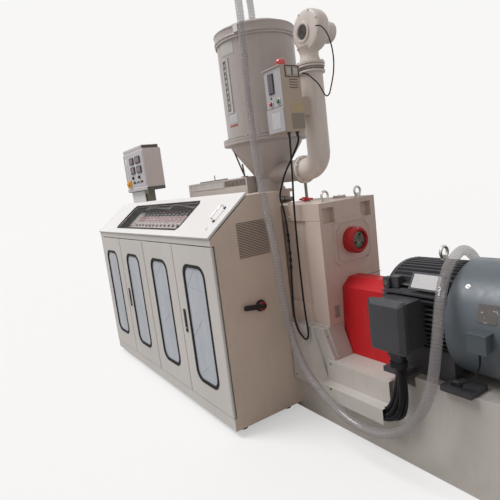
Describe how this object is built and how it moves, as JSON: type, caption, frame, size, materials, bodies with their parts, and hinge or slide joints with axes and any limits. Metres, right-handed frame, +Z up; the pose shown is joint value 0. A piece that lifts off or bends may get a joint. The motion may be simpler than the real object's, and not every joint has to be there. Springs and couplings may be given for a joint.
{
  "type": "plastic extruder",
  "caption": "Single-screw plastic extruder: geared motor drive on a box base, hopper dryer over the feed throat, and a long control cabinet with glazed doors and a sloping desk.",
  "frame": {"origin": "on the floor under the screw axis, in line with the cabinet end nearest the motor", "axes": "+X along the screw towards the drive motor, +Y away from the operator, +Z up"},
  "size_m": [3.427, 1.242, 2.7234],
  "materials": {
    "cream_paint": "semi-gloss powder coat",
    "casting_paint": "thick enamel on castings",
    "red_paint": "gloss enamel",
    "bare_steel": "zinc plated",
    "motor_paint": "matt dark grey enamel",
    "cowl_paint": "satin blue-grey enamel",
    "cable_black": "matt",
    "hopper_paint": "satin grey enamel",
    "pane_glass": "reflective film",
    "black_rubber": "matt",
    "clear_hose": "clear with wire spiral",
    "handle_chrome": "polished",
    "panel_dark": "matt",
    "black_plastic": "matt"
  },
  "bodies": {
    "machine": {"base_frame": "cream_paint", "gearbox_pedestal": "cream_paint", "side_cover": "cream_paint", "cable_duct": "cream_paint", "gearbox_housing": "casting_paint", "bearing_cover": "red_paint", "lifting_eyes": "bare_steel", "coupling_guard": "red_paint", "motor_frame": "motor_paint", "motor_end_shield": "motor_paint", "fan_cowl": "cowl_paint", "terminal_box": "motor_paint", "motor_cables": "cable_black", "feed_throat": "casting_paint", "barrel": "bare_steel", "barrel_hood": "cream_paint", "hopper_body": "hopper_paint", "hopper_cone": "hopper_paint", "hopper_lid": "hopper_paint", "sight_glass": "pane_glass", "heater_pipe": "cream_paint", "air_blower": "cream_paint", "dryer_control_box": "cream_paint", "warning_beacon": "red_paint", "fan_terminal_box": "cowl_paint", "hose_nozzle": "black_rubber", "feed_hose": "clear_hose", "dryer_cable": "cable_black", "cabinet_shell": "cream_paint", "cabinet_face_frame": "cream_paint", "cabinet_end_drive": "cream_paint", "cabinet_end_die": "cream_paint", "cabinet_feet": "black_rubber", "instrument_panel": "panel_dark", "hinge_pins": "bare_steel", "disconnect_plate": "black_plastic", "operator_panel": "cream_paint"},
    "door_1": {"door_panel_1": "cream_paint", "door_seal_1": "black_rubber", "door_window_1": "pane_glass"},
    "door_2": {"door_panel_2": "cream_paint", "door_seal_2": "black_rubber", "door_window_2": "pane_glass", "door_handle_2": "black_plastic"},
    "door_3": {"door_panel_3": "cream_paint", "door_seal_3": "black_rubber", "door_window_3": "pane_glass"},
    "door_4": {"door_panel_4": "cream_paint", "door_seal_4": "black_rubber", "door_window_4": "pane_glass", "door_handle_4": "black_plastic"},
    "desk_lid": {"desk_lid": "cream_paint", "desk_window": "pane_glass", "desk_handle": "handle_chrome"},
    "disconnect_handle": {"disconnect_handle": "black_plastic"}
  },
  "joints": [
    {"name": "door_1_hinge", "type": "hinge", "parent": "machine", "child": "door_1", "pos_m": [-2.087, -0.717, 0.605], "axis": [0, 0, -1], "range_deg": [0, 90]},
    {"name": "door_2_hinge", "type": "hinge", "parent": "machine", "child": "door_2", "pos_m": [-1.0615, -0.717, 0.605], "axis": [0, 0, 1], "range_deg": [0, 90]},
    {"name": "door_3_hinge", "type": "hinge", "parent": "machine", "child": "door_3", "pos_m": [-1.0355, -0.717, 0.605], "axis": [0, 0, -1], "range_deg": [0, 90]},
    {"name": "door_4_hinge", "type": "hinge", "parent": "machine", "child": "door_4", "pos_m": [-0.01, -0.717, 0.605], "axis": [0, 0, 1], "range_deg": [0, 90]},
    {"name": "desk_lid_hinge", "type": "hinge", "parent": "machine", "child": "desk_lid", "pos_m": [-1.0485, -0.45074, 1.33271], "axis": [-1, 0, 0], "range_deg": [0, 60]},
    {"name": "disconnect_turn", "type": "hinge", "parent": "machine", "child": "disconnect_handle", "pos_m": [0.02, -0.458, 0.71], "axis": [1, 0, 0], "range_deg": [0, 90]}
  ]
}
